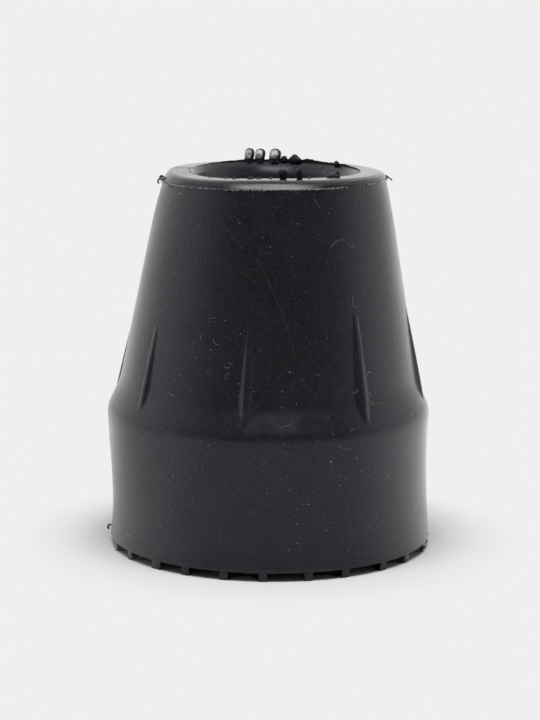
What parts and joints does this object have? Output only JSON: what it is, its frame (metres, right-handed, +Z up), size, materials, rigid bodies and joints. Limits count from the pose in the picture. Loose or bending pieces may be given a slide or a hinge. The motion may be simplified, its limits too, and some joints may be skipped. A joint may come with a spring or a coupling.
{
  "type": "cane tip",
  "caption": "Moulded rubber tip for a walking cane: tapered body with gusset ribs, a wide foot with a ridged tread, and a blind socket for the shaft.",
  "frame": {"origin": "middle of the foot, on the ground under the tread", "axes": "+Z up along the socket's axis, out of its mouth; -Y is the side seen from the front"},
  "size_m": [0.0429, 0.0424, 0.0509],
  "materials": {
    "rubber": "satin, as moulded"
  },
  "bodies": {
    "root": {"rubber_tip": "rubber"}
  },
  "joints": []
}
